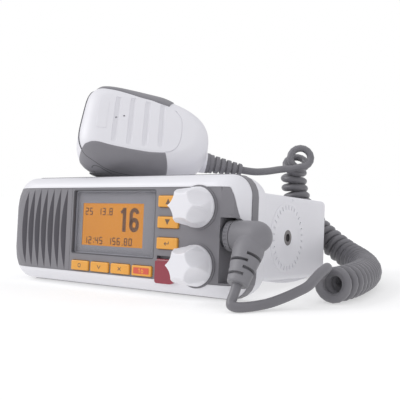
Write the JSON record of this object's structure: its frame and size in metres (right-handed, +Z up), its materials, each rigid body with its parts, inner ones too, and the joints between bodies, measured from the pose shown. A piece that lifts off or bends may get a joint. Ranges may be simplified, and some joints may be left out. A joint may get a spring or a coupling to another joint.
{
  "type": "vhf marine radio",
  "caption": "Fixed-mount VHF marine radio leaning on its heat sink, with louvred speaker grille, orange display, scalloped knobs and a fist microphone on a curly cord.",
  "frame": {"origin": "on the floor, under the centre of the bounding box of radio and microphone without plug and cord", "axes": "-Y is the side that the panel faces, +X is to the right of someone who faces the panel, +Z up"},
  "size_m": [0.2338, 0.1787, 0.1317],
  "materials": {
    "white_plastic": "fine satin",
    "grey_plastic": "fine satin",
    "clear_plastic": "polished",
    "display": "smooth",
    "rubber": "matt",
    "plug_plastic": "satin",
    "aluminium": "anodised",
    "nickel": "plated",
    "insulator": "smooth",
    "brass": "turned",
    "steel": "plated",
    "component": "moulded",
    "circuit_board": "solder resist",
    "orange_key": "translucent, satin",
    "red_plastic": "smooth",
    "cord": "satin"
  },
  "bodies": {
    "radio": {"front_bezel": "white_plastic", "speaker_grille": "grey_plastic", "control_panel": "grey_plastic", "display_window": "clear_plastic", "display_module": "display", "bezel_gasket": "rubber", "housing": "white_plastic", "rear_heat_sink": "aluminium", "rear_seal": "rubber", "antenna_socket": "nickel", "antenna_insulator": "insulator", "power_gland": "rubber", "bracket_inserts": "brass", "housing_screws": "steel", "speaker": "component", "front_board": "circuit_board", "key_switches": "component", "main_board": "circuit_board", "rf_screen": "steel", "volume_pot": "component", "squelch_pot": "component", "distress_pin": "steel", "mic_socket": "plug_plastic", "plug_body": "plug_plastic", "plug_pins": "brass", "plug_strain_relief": "rubber", "cord_plug_lead": "cord", "cord_curls": "cord", "cord_mic_lead": "cord", "mic_front_shell": "white_plastic", "mic_rear_shell": "white_plastic", "mic_front_grips": "rubber", "mic_rear_grips": "rubber", "ptt_switch": "component", "mic_capsule": "component", "mic_board": "circuit_board", "mic_hang_stud": "steel", "mic_screws": "steel", "mic_strain_relief": "rubber"},
    "volume": {"volume_knob": "white_plastic", "volume_shaft": "steel"},
    "squelch": {"squelch_knob": "white_plastic", "squelch_shaft": "steel"},
    "call_key": {"call_key": "orange_key"},
    "weather_key": {"weather_key": "orange_key"},
    "clear_key": {"clear_key": "orange_key"},
    "channel_16_key": {"channel_16_key": "orange_key"},
    "channel_up_key": {"channel_up_key": "orange_key"},
    "channel_down_key": {"channel_down_key": "orange_key"},
    "enter_key": {"enter_key": "orange_key"},
    "distress_key": {"distress_key": "red_plastic"},
    "distress_cover": {"distress_cover": "red_plastic"},
    "push_to_talk": {"ptt_bar": "plug_plastic"},
    "plug_collar": {"plug_collar": "plug_plastic"}
  },
  "joints": [
    {"name": "volume_turn", "type": "hinge", "parent": "radio", "child": "volume", "pos_m": [0.0679, -0.06254, 0.05168], "axis": [0, 0.9975, -0.0707], "range_deg": [-150, 150]},
    {"name": "squelch_turn", "type": "hinge", "parent": "radio", "child": "squelch", "pos_m": [0.0679, -0.06479, 0.01996], "axis": [0, 0.9975, -0.0707], "range_deg": [-150, 150]},
    {"name": "call_key_press", "type": "slide", "parent": "radio", "child": "call_key", "axis": [0, 0.9975, -0.0707], "range_m": [0, 0.0008], "stiffness_N_per_m": 600},
    {"name": "weather_key_press", "type": "slide", "parent": "radio", "child": "weather_key", "axis": [0, 0.9975, -0.0707], "range_m": [0, 0.0008], "stiffness_N_per_m": 600},
    {"name": "clear_key_press", "type": "slide", "parent": "radio", "child": "clear_key", "axis": [0, 0.9975, -0.0707], "range_m": [0, 0.0008], "stiffness_N_per_m": 600},
    {"name": "channel_16_key_press", "type": "slide", "parent": "radio", "child": "channel_16_key", "axis": [0, 0.9975, -0.0707], "range_m": [0, 0.0008], "stiffness_N_per_m": 600},
    {"name": "channel_up_key_press", "type": "slide", "parent": "radio", "child": "channel_up_key", "axis": [0, 0.9975, -0.0707], "range_m": [0, 0.0008], "stiffness_N_per_m": 600},
    {"name": "channel_down_key_press", "type": "slide", "parent": "radio", "child": "channel_down_key", "axis": [0, 0.9975, -0.0707], "range_m": [0, 0.0008], "stiffness_N_per_m": 600},
    {"name": "enter_key_press", "type": "slide", "parent": "radio", "child": "enter_key", "axis": [0, 0.9975, -0.0707], "range_m": [0, 0.0008], "stiffness_N_per_m": 600},
    {"name": "distress_key_press", "type": "slide", "parent": "radio", "child": "distress_key", "axis": [0, 0.9975, -0.0707], "range_m": [0, 0.0008], "stiffness_N_per_m": 600},
    {"name": "distress_cover_lift", "type": "hinge", "parent": "radio", "child": "distress_cover", "pos_m": [0.0476, -0.06382, 0.02089], "axis": [-1, 0, 0], "range_deg": [0, 100], "stiffness_Nm_per_rad": 0.002},
    {"name": "push_to_talk_press", "type": "slide", "parent": "radio", "child": "push_to_talk", "axis": [-0.2397, 0.4972, 0.8338], "range_m": [0, 0.0015], "stiffness_N_per_m": 1500},
    {"name": "plug_collar_turn", "type": "hinge", "parent": "radio", "child": "plug_collar", "pos_m": [0.0867, -0.05721, 0.03636], "axis": [1, 0, 0], "range_deg": [0, 360]}
  ]
}
